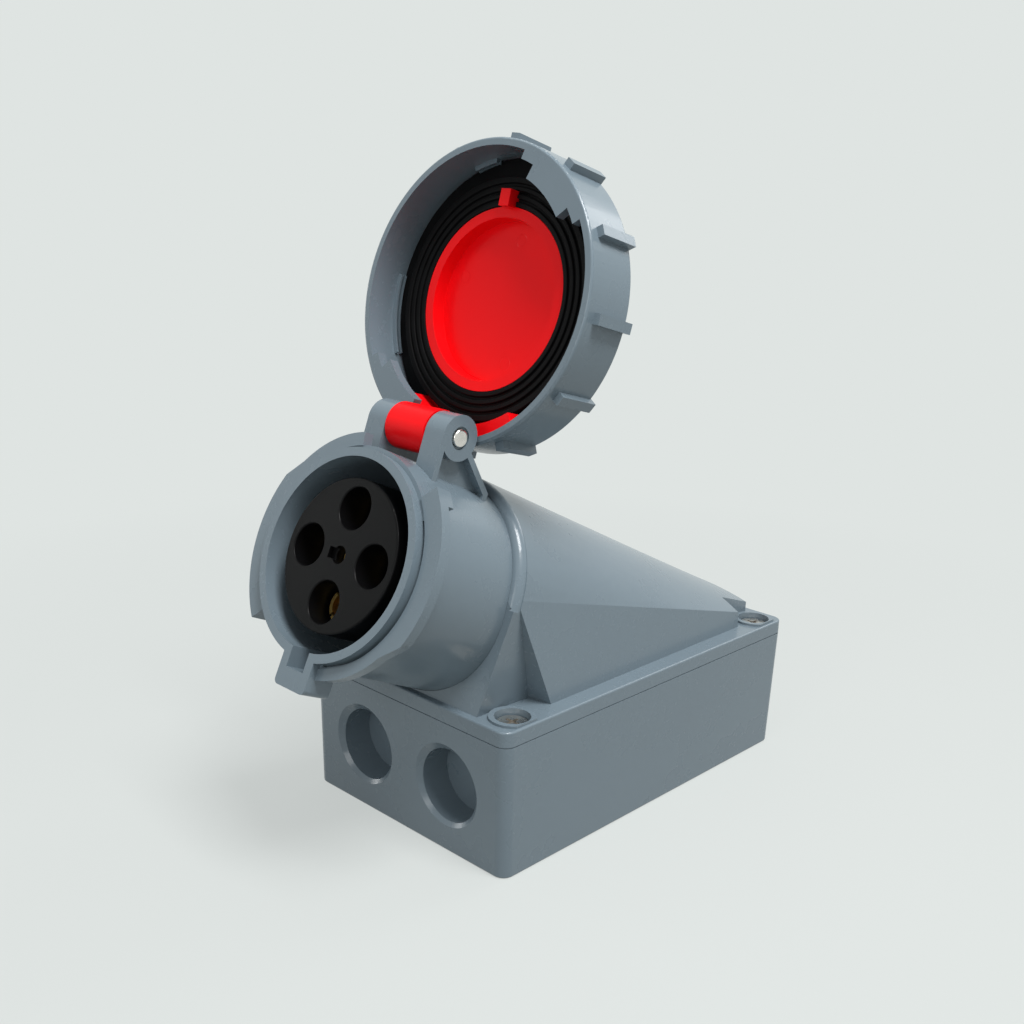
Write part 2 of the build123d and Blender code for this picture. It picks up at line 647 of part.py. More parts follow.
# Socket shell
def cam_outline(start, low_radius):
    """Cam with a low first stretch for the ring's tongue, then a ramp and a high stretch."""
    ramp_start = start + CAM_LOW_SPAN
    ramp_end = ramp_start + CAM_RAMP_SPAN
    with BuildSketch(mode=Mode.PRIVATE) as outline:
        with BuildLine():
            low = CenterArc((0, 0), low_radius, start, CAM_LOW_SPAN)
            high = CenterArc((0, 0), CAM_HIGH_RADIUS, ramp_end, start + CAM_SPAN - ramp_end)
            root = CenterArc((0, 0), BARREL_RADIUS - CAM_ROOT, start, CAM_SPAN)
            Line(low @ 1, high @ 0)
            Line(low @ 0, root @ 0)
            Line(high @ 1, root @ 1)
        make_face()
    return outline.sketch


socket_side = side_of(socket_plane)
with BuildPart(socket_plane) as socket_shell:
    # one hinge ear, hollowed below its boss, and its mirror image
    with BuildSketch(socket_side.offset(EAR_INNER_X)):
        with BuildLine():
            Polyline(
                (HINGE_DEPTH - EAR_BOSS_RADIUS, HINGE_UP),
                (EAR_FRONT_DEPTH, EAR_ROOT_UP),
                (EAR_REAR_DEPTH, EAR_ROOT_UP),
                (EAR_REAR_DEPTH, EAR_REAR_UP),
                (HINGE_DEPTH + EAR_KNEE_DEPTH, HINGE_UP - EAR_KNEE_DROP),
                close=True,
            )
        make_face()
        with Locations((HINGE_DEPTH, HINGE_UP)):
            Circle(EAR_BOSS_RADIUS)
    extrude(amount=EAR_THICKNESS)
    with BuildSketch(socket_side.offset(EAR_INNER_X + EAR_THICKNESS)):
        with BuildLine():
            Polyline(
                (HINGE_DEPTH - EAR_BOSS_RADIUS, HINGE_UP),
                (EAR_FRONT_DEPTH, EAR_ROOT_UP),
                (EAR_REAR_DEPTH, EAR_ROOT_UP),
                (EAR_REAR_DEPTH, EAR_REAR_UP),
                (HINGE_DEPTH + EAR_KNEE_DEPTH, HINGE_UP - EAR_KNEE_DROP),
                close=True,
            )
        make_face()
        offset(amount=-EAR_RIB, mode=Mode.REPLACE)
        with Locations((HINGE_DEPTH, HINGE_UP)):
            Circle(EAR_BOSS_RADIUS, mode=Mode.SUBTRACT)
    extrude(amount=-EAR_RECESS, mode=Mode.SUBTRACT)
    with BuildSketch(socket_side.offset(EAR_INNER_X + EAR_THICKNESS)):
        with Locations((HINGE_DEPTH, HINGE_UP)):
            Circle(PIN_RADIUS + PIN_RECESS_GAP)
    extrude(amount=-PIN_RECESS_DEPTH, mode=Mode.SUBTRACT)
    mirror(about=Plane.YZ)
    rod(RIM_RADIUS, 0, RIM_LENGTH)
    rod(BARREL_RADIUS, RIM_LENGTH, BARREL_LENGTH)
    # cams, half a turn apart, each with a stop at its high end
    with BuildSketch(at_depth(CAM_FRONT + CAM_THICKNESS)):
        for half_turn, low_radius in zip((0, 180), CAM_LOW_RADII):
            add(cam_outline(CAM_START + half_turn, low_radius))
    extrude(amount=CAM_THICKNESS)
    stop_start = CAM_START + CAM_SPAN - CAM_ROOT
    with BuildSketch(at_depth(CAM_FRONT + CAM_STOP_LENGTH)):
        with PolarLocations(0, 2):
            add(sector(BARREL_RADIUS - CAM_ROOT, CAM_HIGH_RADIUS, stop_start, stop_start + CAM_STOP_SPAN))
    extrude(amount=CAM_STOP_LENGTH)
    # thin channel between the rim and each cam
    with BuildSketch(at_depth(CAM_FRONT + CAM_CHANNEL_DEPTH)):
        for half_turn in (0, 180):
            add(sector(RIM_RADIUS, RIM_RADIUS + CAM_CHANNEL_WIDTH, CAM_START + CAM_CHANNEL_END + half_turn,
                       CAM_START + CAM_SPAN - CAM_CHANNEL_END + half_turn))
    extrude(amount=CAM_CHANNEL_DEPTH + 1, mode=Mode.SUBTRACT)
    # keyway lug
    with BuildSketch(at_depth(LUG_LENGTH)) as lug:
        with Locations((0, -(LUG_RADIUS + RIM_RADIUS) / 2)):
            Rectangle(LUG_WIDTH, LUG_RADIUS - RIM_RADIUS + 2 * LUG_CORNER)
        fillet(lug.vertices().group_by(Axis.Y)[0], radius=LUG_CORNER)
    extrude(amount=LUG_LENGTH)
    # bores from the mouth and from the rear
    rod(BORE_RADIUS, 0, BORE_DEPTH, Mode.SUBTRACT)
    rod(INSERT_RADIUS + INSERT_CLEARANCE, BORE_DEPTH, INSERT_FLANGE_START, Mode.SUBTRACT)
    rod(REAR_BORE_RADIUS, INSERT_FLANGE_START, BARREL_LENGTH, Mode.SUBTRACT)
    # keyway: deep through the lug, then a groove along the bore
    for reach, length in ((KEYWAY_RADIUS, LUG_LENGTH - LUG_BACK), (KEYWAY_GROOVE_RADIUS, KEYWAY_LENGTH)):
        with BuildSketch(at_depth(length)):
            with Locations((0, -(reach + INSERT_RADIUS) / 2)):
                Rectangle(KEYWAY_WIDTH, reach - INSERT_RADIUS)
        extrude(amount=length, mode=Mode.SUBTRACT)
    # pin bore through both ears
    with BuildSketch(socket_side.offset(-FLANGE_HALF_X)):
        with Locations((HINGE_DEPTH, HINGE_UP)):
            Circle(PIN_RADIUS + PIN_CLEARANCE)
    extrude(amount=BOX_WIDTH, mode=Mode.SUBTRACT)
    # threads for the insert screws in the web and for the shell screws in the rear face
    with PolarLocations(INSERT_SCREW_PITCH, 4, SMALL_SCREW_ANGLE):
        rod(SMALL_SCREW_RADIUS + THREAD_CLEARANCE, INSERT_FLANGE_START - INSERT_SCREW_ENGAGEMENT,
            INSERT_FLANGE_START, Mode.SUBTRACT)
    with PolarLocations(SHELL_SCREW_PITCH, 4, SMALL_SCREW_ANGLE):
        rod(SMALL_SCREW_RADIUS + THREAD_CLEARANCE, BARREL_LENGTH - SHELL_SCREW_ENGAGEMENT - 1,
            BARREL_LENGTH, Mode.SUBTRACT)
save(socket_shell, "socket_shell")

# Flat seal between shell and cover
with BuildPart(socket_plane) as shell_seal:
    rod(BARREL_RADIUS - SEAT_CLEARANCE, BARREL_LENGTH, SEAT_DEPTH)
    rod(REAR_BORE_RADIUS + SEAL_CLEARANCE, BARREL_LENGTH, SEAT_DEPTH, Mode.SUBTRACT)
    with PolarLocations(SHELL_SCREW_PITCH, 4, SMALL_SCREW_ANGLE):
        rod(SMALL_SCREW_RADIUS + SEAL_CLEARANCE, BARREL_LENGTH, SEAT_DEPTH, Mode.SUBTRACT)
save(shell_seal, "shell_seal")


def small_screws(pitch, seat, tip):
    """Four small screws round the socket axis, heads behind their seat."""
    with BuildPart(socket_plane, mode=Mode.PRIVATE) as screws:
        with PolarLocations(pitch, 4, SMALL_SCREW_ANGLE):
            rod(SMALL_SCREW_RADIUS, tip, seat)
            rod(SMALL_HEAD_RADIUS, seat, seat + SMALL_HEAD_HEIGHT)
            rod(SMALL_SCREW_RADIUS / 2, seat + SMALL_HEAD_HEIGHT / 2, seat + SMALL_HEAD_HEIGHT,
                Mode.SUBTRACT)
    return screws


save(small_screws(SHELL_SCREW_PITCH, SEAT_DEPTH + SEAT_WEB, BARREL_LENGTH - SHELL_SCREW_ENGAGEMENT),
     "shell_screws")
save(small_screws(INSERT_SCREW_PITCH, INSERT_END, INSERT_FLANGE_START - INSERT_SCREW_ENGAGEMENT),
     "insert_screws")


# Insulating insert and terminal block
phase_places = [polar(PITCH_RADIUS, angle) for angle in PHASE_ANGLES.values()]
earth_place = polar(PITCH_RADIUS, EARTH_ANGLE)
contact_places = [*phase_places, earth_place]
block_screw_places = [polar(BLOCK_SCREW_PITCH, angle) for angle in (SMALL_SCREW_ANGLE, SMALL_SCREW_ANGLE + 180)]
block_screw_tip = INSERT_END - BLOCK_SCREW_ENGAGEMENT

with BuildPart(socket_plane) as contact_insert:
    rod(INSERT_RADIUS, INSERT_FACE, INSERT_FLANGE_START)
    fillet(contact_insert.faces().sort_by(socket_axis)[-1].edges(), radius=FACE_EDGE)
    rod(REAR_BORE_RADIUS - INSERT_FLANGE_CLEARANCE, INSERT_FLANGE_START, INSERT_END)
    with Locations(*contact_places):
        rod(PIN_HOLE_RADIUS, INSERT_FACE, PIN_HOLE_DEPTH, Mode.SUBTRACT)
    with Locations(*phase_places):
        rod(PHASE_RADIUS + SEAT_FIT, PIN_HOLE_DEPTH, INSERT_END, Mode.SUBTRACT)
    with Locations(earth_place):
        rod(EARTH_RADIUS + SEAT_FIT, PIN_HOLE_DEPTH, INSERT_END, Mode.SUBTRACT)
    rod(PILOT_HOLE_RADIUS, INSERT_FACE, PIN_HOLE_DEPTH, Mode.SUBTRACT)
    rod(PILOT_RADIUS + SEAT_FIT, PIN_HOLE_DEPTH, INSERT_END, Mode.SUBTRACT)
    with Locations((0, 0, -INSERT_FACE)):
        Box(PILOT_NOTCH_REACH, PILOT_NOTCH_WIDTH, PILOT_NOTCH_DEPTH,
            align=(Align.MAX, Align.CENTER, Align.MAX), mode=Mode.SUBTRACT)
    pin_mouths = contact_insert.faces().sort_by(socket_axis)[-1].edges().filter_by(GeomType.CIRCLE)
    chamfer(pin_mouths.filter_by(lambda edge: abs(edge.radius - PIN_HOLE_RADIUS) < 0.01), length=HOLE_CHAMFER)
    with PolarLocations(INSERT_SCREW_PITCH, 4, SMALL_SCREW_ANGLE):
        rod(SMALL_SCREW_RADIUS + SEAL_CLEARANCE, INSERT_FLANGE_START, INSERT_END, Mode.SUBTRACT)
    with Locations(*block_screw_places):
        rod(BLOCK_SCREW_RADIUS + THREAD_CLEARANCE, block_screw_tip - 1, INSERT_END, Mode.SUBTRACT)
save(contact_insert, "contact_insert")

with BuildPart(socket_plane) as terminal_block:
    rod(INSERT_RADIUS, INSERT_END, BLOCK_END)
    with Locations(*contact_places):
        rod(TERMINAL_RADIUS + BLOCK_CLEARANCE, INSERT_END, BLOCK_END, Mode.SUBTRACT)
    rod(PILOT_RADIUS + BLOCK_CLEARANCE, INSERT_END, BLOCK_END, Mode.SUBTRACT)
    with Locations(*block_screw_places):
        rod(BLOCK_SCREW_RADIUS + SEAL_CLEARANCE, INSERT_END, BLOCK_END, Mode.SUBTRACT)
        rod(BLOCK_SCREW_HEAD_RADIUS + SEAL_CLEARANCE, BLOCK_END - BLOCK_SCREW_HEAD_HEIGHT, BLOCK_END,
            Mode.SUBTRACT)
    # radial ways for the clamping screws
    for depth in TERMINAL_SCREW_DEPTHS:
        for angle in (*PHASE_ANGLES.values(), EARTH_ANGLE):
            with BuildSketch(radial_plane(depth, angle, PITCH_RADIUS)):
                Circle(TERMINAL_SCREW_RADIUS + TERMINAL_SCREW_ACCESS)
            extrude(amount=INSERT_RADIUS, mode=Mode.SUBTRACT)
    with BuildSketch(radial_plane(PILOT_SCREW_DEPTH, PILOT_SCREW_ANGLE, 0)):
        Circle(PILOT_SCREW_ACCESS)
    extrude(amount=INSERT_RADIUS + 1, mode=Mode.SUBTRACT)
save(terminal_block, "terminal_block")

# Contacts: a slotted sleeve in front, a collar against the insert and a terminal behind
terminal_end = INSERT_END + COLLAR_LENGTH + TERMINAL_LENGTH


def contact(angle, radius, bore, start):
    """Brass contact for one pin, its sleeve starting at a depth."""
    with BuildPart(socket_plane, mode=Mode.PRIVATE) as piece:
        with Locations(polar(PITCH_RADIUS, angle)):
            rod(radius, start, INSERT_END)
            rod(TERMINAL_RADIUS, INSERT_END, terminal_end)
            rod(bore, start, SLEEVE_BORE_END, Mode.SUBTRACT)
            rod(WIRE_HOLE_RADIUS, terminal_end - WIRE_HOLE_DEPTH, terminal_end, Mode.SUBTRACT)
            with Locations((0, 0, -start - SLEEVE_SLOT_LENGTH)):
                for turn in (angle + 45, angle + 135):
                    Box(2 * radius + 1, SLEEVE_SLOT_WIDTH, SLEEVE_SLOT_LENGTH, rotation=(0, 0, turn),
                        align=(Align.CENTER, Align.CENTER, Align.MIN), mode=Mode.SUBTRACT)
        for depth in TERMINAL_SCREW_DEPTHS:
            with BuildSketch(radial_plane(depth, angle, PITCH_RADIUS)):
                Circle(TERMINAL_SCREW_RADIUS + THREAD_CLEARANCE)
            extrude(amount=TERMINAL_RADIUS + 1, mode=Mode.SUBTRACT)
    return piece


for contact_name, contact_angle in PHASE_ANGLES.items():
    save(contact(contact_angle, PHASE_RADIUS, PHASE_BORE, PHASE_SLEEVE_START), contact_name)
save(contact(EARTH_ANGLE, EARTH_RADIUS, EARTH_BORE, EARTH_SLEEVE_START), "earth_contact")

with BuildPart(socket_plane) as pilot_contact:
    rod(PILOT_RADIUS, PILOT_START, terminal_end)
    rod(PILOT_BORE, PILOT_START, PILOT_BORE_END, Mode.SUBTRACT)
    rod(PILOT_WIRE_RADIUS, terminal_end - WIRE_HOLE_DEPTH, terminal_end, Mode.SUBTRACT)
    with BuildSketch(radial_plane(PILOT_SCREW_DEPTH, PILOT_SCREW_ANGLE, 0)):
        Circle(PILOT_SCREW_RADIUS + THREAD_CLEARANCE)
    extrude(amount=PILOT_RADIUS + 1, mode=Mode.SUBTRACT)
save(pilot_contact, "pilot_contact")

# Spring rings that hold the slotted sleeves together
with BuildPart(socket_plane) as contact_springs:
    for places, sleeve, start in ((phase_places, PHASE_RADIUS, PHASE_SLEEVE_START),
                                  ([earth_place], EARTH_RADIUS, EARTH_SLEEVE_START)):
        near = start + SPRING_SETBACK
        with Locations(*places):
            rod(sleeve + SPRING_GAP + SPRING_THICKNESS, near, near + SPRING_LENGTH)
            rod(sleeve + SPRING_GAP, near, near + SPRING_LENGTH, Mode.SUBTRACT)
save(contact_springs, "contact_springs")

# Clamping screws
with BuildPart() as terminal_screws:
    for depth in TERMINAL_SCREW_DEPTHS:
        for angle in (*PHASE_ANGLES.values(), EARTH_ANGLE):
            with Locations(radial_plane(depth, angle, TERMINAL_SCREW_INNER)):
                Cylinder(TERMINAL_SCREW_RADIUS, TERMINAL_SCREW_LENGTH,
                         align=(Align.CENTER, Align.CENTER, Align.MIN))
            with Locations(radial_plane(depth, angle, TERMINAL_SCREW_INNER + TERMINAL_SCREW_LENGTH)):
                Box(SCREW_SLOT_WIDTH, 2 * TERMINAL_SCREW_RADIUS, SCREW_SLOT_DEPTH,
                    align=(Align.CENTER, Align.CENTER, Align.MAX), mode=Mode.SUBTRACT)
save(terminal_screws, "terminal_screws")

with BuildPart() as pilot_screw:
    with Locations(radial_plane(PILOT_SCREW_DEPTH, PILOT_SCREW_ANGLE, PILOT_WIRE_RADIUS)):
        Cylinder(PILOT_SCREW_RADIUS, PILOT_SCREW_LENGTH, align=(Align.CENTER, Align.CENTER, Align.MIN))
    with Locations(radial_plane(PILOT_SCREW_DEPTH, PILOT_SCREW_ANGLE, PILOT_WIRE_RADIUS + PILOT_SCREW_LENGTH)):
        Box(SCREW_SLOT_WIDTH, 2 * PILOT_SCREW_RADIUS, SCREW_SLOT_DEPTH,
            align=(Align.CENTER, Align.CENTER, Align.MAX), mode=Mode.SUBTRACT)
save(pilot_screw, "pilot_screw")

with BuildPart(socket_plane) as block_screws:
    with Locations(*block_screw_places):
        rod(BLOCK_SCREW_HEAD_RADIUS, BLOCK_END - BLOCK_SCREW_HEAD_HEIGHT, BLOCK_END)
        rod(BLOCK_SCREW_RADIUS, block_screw_tip, BLOCK_END - BLOCK_SCREW_HEAD_HEIGHT)
        with Locations((0, 0, -BLOCK_END)):
            Box(SCREW_SLOT_WIDTH, 2 * BLOCK_SCREW_HEAD_RADIUS, SCREW_SLOT_DEPTH,
                align=(Align.CENTER, Align.CENTER, Align.MIN), mode=Mode.SUBTRACT)
save(block_screws, "block_screws")

# Hinge pin
pin_half_length = EAR_INNER_X + EAR_THICKNESS + PIN_PROUD
with BuildPart() as hinge_pin:
    with BuildSketch(socket_side.offset(-pin_half_length)):
        with Locations((HINGE_DEPTH, HINGE_UP)):
            Circle(PIN_RADIUS)
    extrude(amount=2 * pin_half_length)
    fillet(hinge_pin.edges().filter_by(GeomType.CIRCLE), radius=PIN_EDGE)
save(hinge_pin, "hinge_pin")

# Lid
lid_section = section_of(lid_plane)
lid_side = side_of(lid_plane)
lid_axis = Axis(lid_plane.origin, lid_plane.z_dir)
lid_back = LID_FACE + LID_THICKNESS
neck_top_up = sqrt(LID_RADIUS**2 - NECK_HALF_WIDTH**2)
with BuildPart() as lid:
    with BuildSketch(lid_section):
        with BuildLine():
            Polyline(
                (0, DISH_FLOOR),
                (DISH_FLOOR_RADIUS, DISH_FLOOR),
                (DISH_INNER_RADIUS, DISH_RIM),
                (DISH_RADIUS, DISH_RIM),
                (DISH_RADIUS, LID_FACE),
                (LID_RADIUS, LID_FACE),
                (LID_RADIUS, lid_back),
                (HUB_RADIUS, lid_back),
                (HUB_RADIUS, HUB_TOP),
                (HUB_RECESS_RADIUS, HUB_TOP),
                (HUB_RECESS_RADIUS, HUB_TOP - HUB_RECESS),
                (0, HUB_TOP - HUB_RECESS),
                close=True,
            )
        make_face()
    revolve(axis=lid_axis)
    # key tab opposite the hinge
    with BuildSketch(lid_plane.offset(-TAB_REACH + TAB_TOP)):
        with Locations((0, -(DISH_RADIUS + TAB_OUTER) / 2)):
            Rectangle(TAB_WIDTH, TAB_OUTER - DISH_RADIUS + 1)
    extrude(amount=TAB_REACH)
    # arm: a crescent under the disc, a neck and the hinge drum
    with BuildSketch(lid_plane.offset(-ARM_REACH)):
        add(sector(ARM_INNER_RADIUS, LID_RADIUS, 90 - ARM_HALF_ANGLE, 90 + ARM_HALF_ANGLE))
    extrude(amount=ARM_REACH + lid_back)
    with BuildSketch(lid_side.offset(-NECK_HALF_WIDTH)):
        with Locations((HINGE_DEPTH, HINGE_UP)):
            Circle(DRUM_RADIUS)
        with BuildLine():
            Polyline(
                (-LID_FACE, neck_top_up),
                (HINGE_DEPTH - DRUM_RADIUS + 1, neck_top_up),
                (HINGE_DEPTH, HINGE_UP),
                (HINGE_DEPTH, HINGE_UP - DRUM_RADIUS),
                (ARM_REACH, NECK_UNDERSIDE_UP),
                (-LID_FACE, ARM_INNER_RADIUS),
                close=True,
            )
        make_face()
    extrude(amount=2 * NECK_HALF_WIDTH)
    with BuildSketch(lid_side.offset(-FLANGE_HALF_X)):
        with Locations((HINGE_DEPTH, HINGE_UP)):
            Circle(PIN_RADIUS + PIN_CLEARANCE)
    extrude(amount=BOX_WIDTH, mode=Mode.SUBTRACT)
save(lid, "lid")

# Lid gasket: a grooved sealing face and a thin skirt, open at the arm
skirt_face = LID_FACE - LID_GASKET_SKIRT
with BuildPart() as lid_gasket:
    with BuildSketch(lid_section):
        with BuildLine():
            Polyline(
                (DISH_RADIUS + LID_GASKET_INNER_GAP, LID_FACE),
                (DISH_RADIUS + LID_GASKET_INNER_GAP, LID_GASKET_FACE),
                (LID_GASKET_FACE_RADIUS, LID_GASKET_FACE),
                (LID_GASKET_FACE_RADIUS, skirt_face),
                (LID_RADIUS - LID_GASKET_EDGE_GAP, skirt_face),
                (LID_RADIUS - LID_GASKET_EDGE_GAP, LID_FACE),
                close=True,
            )
        make_face()
        for groove in range(LID_GROOVE_COUNT):
            with Locations((LID_GROOVE_START + groove * LID_GROOVE_PITCH, LID_GASKET_FACE)):
                Rectangle(LID_GROOVE_WIDTH, LID_GROOVE_DEPTH, align=(Align.MIN, Align.MIN),
                          mode=Mode.SUBTRACT)
    revolve(axis=lid_axis)
    arm_gap_angle = ARM_HALF_ANGLE + degrees(ARM_GAP / ARM_INNER_RADIUS)
    with BuildSketch(lid_plane.offset(LID_GASKET_FACE)):
        add(sector(ARM_INNER_RADIUS - ARM_GAP, LID_RADIUS, 90 - arm_gap_angle, 90 + arm_gap_angle))
    extrude(amount=LID_FACE, mode=Mode.SUBTRACT)
    with BuildSketch(lid_plane):
        with Locations((0, -(DISH_RADIUS + TAB_OUTER) / 2)):
            Rectangle(TAB_WIDTH + 2 * ARM_GAP, TAB_OUTER - DISH_RADIUS + 2 * ARM_GAP)
    extrude(amount=LID_FACE, mode=Mode.SUBTRACT)
save(lid_gasket, "lid_gasket")

# Locking ring
keeper_top = skirt_face - RING_FACE_CLEARANCE
with BuildPart() as locking_ring:
    with BuildSketch(lid_section):
        with BuildLine():
            Polyline(
                (RING_INNER_RADIUS, -RING_EDGE),
                (RING_OUTER_RADIUS, -RING_EDGE),
                (RING_OUTER_RADIUS, RING_TOP),
                (RING_LIP_RADIUS, RING_TOP),
                (RING_LIP_RADIUS, RING_TOP - RING_LIP),
                (RING_INNER_RADIUS, RING_TOP - RING_LIP),
                close=True,
            )
        make_face()
    revolve(axis=lid_axis)
    fillet(locking_ring.edges().filter_by(GeomType.CIRCLE).filter_by(
        lambda edge: abs(edge.radius - RING_OUTER_RADIUS) < 0.01), radius=RING_EDGE_RADIUS)
    # grip ribs
    with BuildSketch(lid_plane.offset(RIB_SETBACK - RING_EDGE)):
        with PolarLocations((RING_OUTER_RADIUS + RING_INNER_RADIUS) / 2 + RIB_PROUD / 2, RIB_COUNT, RIB_PHASE):
            Rectangle(RING_OUTER_RADIUS - RING_INNER_RADIUS + RIB_PROUD, RIB_WIDTH)
        Circle(RING_INNER_RADIUS + RING_CLEARANCE, mode=Mode.SUBTRACT)
    extrude(amount=RING_EDGE - RIB_SETBACK + RING_TOP)
    # bayonet tongues on their base plates
    with BuildSketch(lid_plane.offset(-RING_EDGE)):
        for centre in TONGUE_CENTRES:
            add(sector(TONGUE_TIP_RADIUS, RING_OUTER_RADIUS - RING_EDGE_RADIUS,
                       centre - TONGUE_SPAN / 2, centre + TONGUE_SPAN / 2))
            add(sector(TONGUE_BASE_RADIUS, RING_OUTER_RADIUS - RING_EDGE_RADIUS,
                       centre - TONGUE_BASE_SPAN / 2, centre + TONGUE_BASE_SPAN / 2))
    extrude(amount=TONGUE_THICKNESS)
    # double keepers that hold the disc against the lip
    for start, end in KEEPER_SPANS:
        for drop in (KEEPER_RIDGE, KEEPER_LENGTH):
            with BuildSketch(lid_plane.offset(keeper_top - drop)):
                add(sector(KEEPER_RADIUS, RING_INNER_RADIUS + RING_CLEARANCE, start, end))
            extrude(amount=KEEPER_RIDGE)
save(locking_ring, "locking_ring")
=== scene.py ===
import bmesh
import bpy
import json
from math import cos, pi, radians, sin
from mathutils import Euler, Matrix, Vector


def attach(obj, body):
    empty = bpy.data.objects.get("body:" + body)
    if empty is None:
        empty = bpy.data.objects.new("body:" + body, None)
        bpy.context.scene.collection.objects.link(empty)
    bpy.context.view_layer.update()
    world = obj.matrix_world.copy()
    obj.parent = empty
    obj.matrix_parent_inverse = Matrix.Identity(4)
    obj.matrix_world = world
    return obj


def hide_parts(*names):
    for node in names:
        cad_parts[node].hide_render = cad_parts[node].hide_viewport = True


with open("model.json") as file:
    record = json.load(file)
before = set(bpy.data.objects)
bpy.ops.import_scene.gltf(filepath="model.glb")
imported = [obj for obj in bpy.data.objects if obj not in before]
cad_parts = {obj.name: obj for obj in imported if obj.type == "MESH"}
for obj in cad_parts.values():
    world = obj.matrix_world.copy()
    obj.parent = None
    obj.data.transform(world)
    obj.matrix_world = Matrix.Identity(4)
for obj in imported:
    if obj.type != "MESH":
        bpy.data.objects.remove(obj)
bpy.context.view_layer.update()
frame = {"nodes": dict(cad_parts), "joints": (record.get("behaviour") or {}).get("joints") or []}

bl_info = {
    "name": "Industrial Socket Looks",
    "version": (1, 0, 0),
    "blender": (4, 5, 0),
    "location": "3D View > Sidebar > Socket",
    "description": "Dresses the industrial socket and sets its stage",
    "category": "Object",
}


# The frame's own materials are named like the slots, so the finishes get an ending.
FINISH_ENDING = "_finish"

# Moulded edges, in metres and degrees.
WELD_DISTANCE = 0.000002
FLAT_ANGLE = 0.6
MOULDED_ANGLE = 32.0
SHADING_ANGLE = 38.0
EDGE_SEGMENTS = 2
ROUND_PROFILE = 0.5

# Plastic: noise sizes and depths in metres, the rest in shares.
PLASTIC_IOR = 1.5
COAT_ROUGHNESS = 0.14
CLOUD_SIZE = 0.045
STREAK_SIZE = 0.012
GRAIN_SIZE = 0.00035
GRAIN_DEPTH = 0.00001
CLOUD_SHARE = 0.7
STREAK_SHARE = 0.3
TONE_RANGE = (0.35, 0.65)
SCUFF_SIZE = 0.003
SCUFF_RANGE = (0.58, 0.9)
SCUFF_SHARE = 0.08
SCUFF_TONE = 1.12
DARK_TONE = 0.985
LIGHT_TONE = 1.015
TONE_ROUGHNESS = 0.03

# Marks of the ejector pins on the floor of the lid's dish, in metres. Their depth counts in
# depths of the grain, and a spot is its reach from the middle and its turn in degrees.
DISH_FLOOR = 0.0065
MARK_RADIUS = 0.0025
MARK_WIDTH = 0.0002
MARK_DEPTH = 6.0
MARK_SPOTS = ((0.0235, 200.0), (0.0245, 70.0), (0.0245, 280.0))

# Rubber.
RUBBER_IOR = 1.45
RUBBER_SPECULAR = 0.1
RUBBER_ROUGHNESS = 0.52
BLOOM_SIZE = 0.008
BLOOM_RANGE = (0.35, 0.7)
BLOOM_DARK = 0.8
BLOOM_LIGHT = 1.35
BLOOM_ROUGHNESS = 0.12
RUBBER_GRAIN_SIZE = 0.0003
RUBBER_GRAIN_DEPTH = 0.000015

# Metal.
TOOL_MARK_SIZE = 0.0004
TOOL_MARK_DEPTH = 0.000008
TOOL_MARK_ROUGHNESS = 0.1
TARNISH_SIZE = 0.004
TARNISH_RANGE = (0.4, 0.7)
TARNISH_TONE = 0.8
TARNISH_ROUGHNESS = 0.08

# Stage, in metres.
FLOOR_SIZE = 8.0
FLOOR_ROUGHNESS = 0.9
FLOOR_SHARE = 0.68
FLOOR_BOUNCE = 0.4
SHADOW_SHARE = 0.35
SHADOW_NEAR = 0.16
SHADOW_FAR = 0.5
STAGE_CENTRE = (0.0, -0.02, 0.12)
SENSOR_WIDTH = 36.0


def srgb(red, green, blue):
    """Linear colour for screen values from 0 to 255."""
    linear = []
    for value in (red, green, blue):
        share = value / 255
        linear.append(share / 12.92 if share <= 0.04045 else ((share + 0.055) / 1.055) ** 2.4)
    return tuple(linear)


class SocketFinish(bpy.types.PropertyGroup):
    """Colours and surface finish of the socket."""

    housing_grey: bpy.props.FloatVectorProperty(
        name="Housing grey", description="Moulded grey of box, cover, shell and ring",
        default=srgb(106, 120, 129), subtype="COLOR", min=0, max=1)
    lid_red: bpy.props.FloatVectorProperty(
        name="Lid red", description="Moulded red of the lid",
        default=srgb(240, 12, 20), subtype="COLOR", min=0, max=1)
    insert_black: bpy.props.FloatVectorProperty(
        name="Insert black", description="Black of the contact carrier",
        default=srgb(9, 9, 10), subtype="COLOR", min=0, max=1)
    rubber_black: bpy.props.FloatVectorProperty(
        name="Rubber black", description="Black of the rubber seals",
        default=srgb(10, 10, 11), subtype="COLOR", min=0, max=1)
    steel: bpy.props.FloatVectorProperty(
        name="Steel", description="Plated steel of screws and hinge pin",
        default=srgb(226, 222, 216), subtype="COLOR", min=0, max=1)
    brass: bpy.props.FloatVectorProperty(
        name="Brass", description="Brass of the contacts",
        default=srgb(236, 200, 120), subtype="COLOR", min=0, max=1)
    edge_radius: bpy.props.FloatProperty(
        name="Edge radius", description="Radius of the moulded edges",
        default=0.0004, min=0, unit="LENGTH", subtype="DISTANCE")


